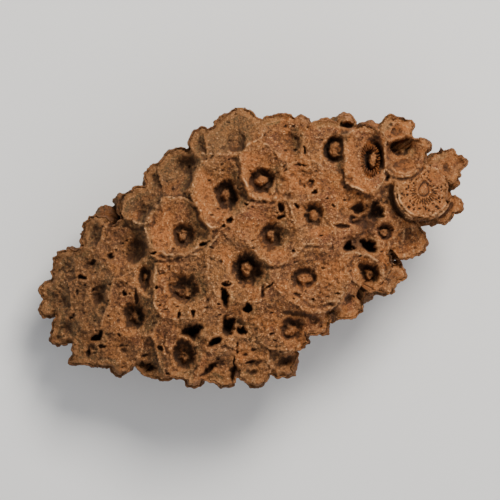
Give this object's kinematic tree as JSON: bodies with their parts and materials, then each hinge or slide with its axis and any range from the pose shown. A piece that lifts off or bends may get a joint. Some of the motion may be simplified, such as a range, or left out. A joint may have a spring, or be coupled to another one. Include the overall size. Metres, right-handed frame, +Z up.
{
  "type": "fossil coral head",
  "caption": "Head of a massive fossil colonial coral: packed tubes with polygonal rims, deep round pits and central bosses, broken tubes at one end, cut flat below.",
  "frame": {"origin": "near the middle of the flat cut base, on it", "axes": "+Z up, away from the flat base; +X along the head, towards its end of broken tubes; +Y across it"},
  "size_m": [0.1262, 0.0819, 0.0506],
  "materials": {
    "fossil_stone": "dull, granular, orange-brown weathered stone with pale worn rims and dark pits"
  },
  "bodies": {
    "root": {"coral_head": "fossil_stone"}
  },
  "joints": []
}
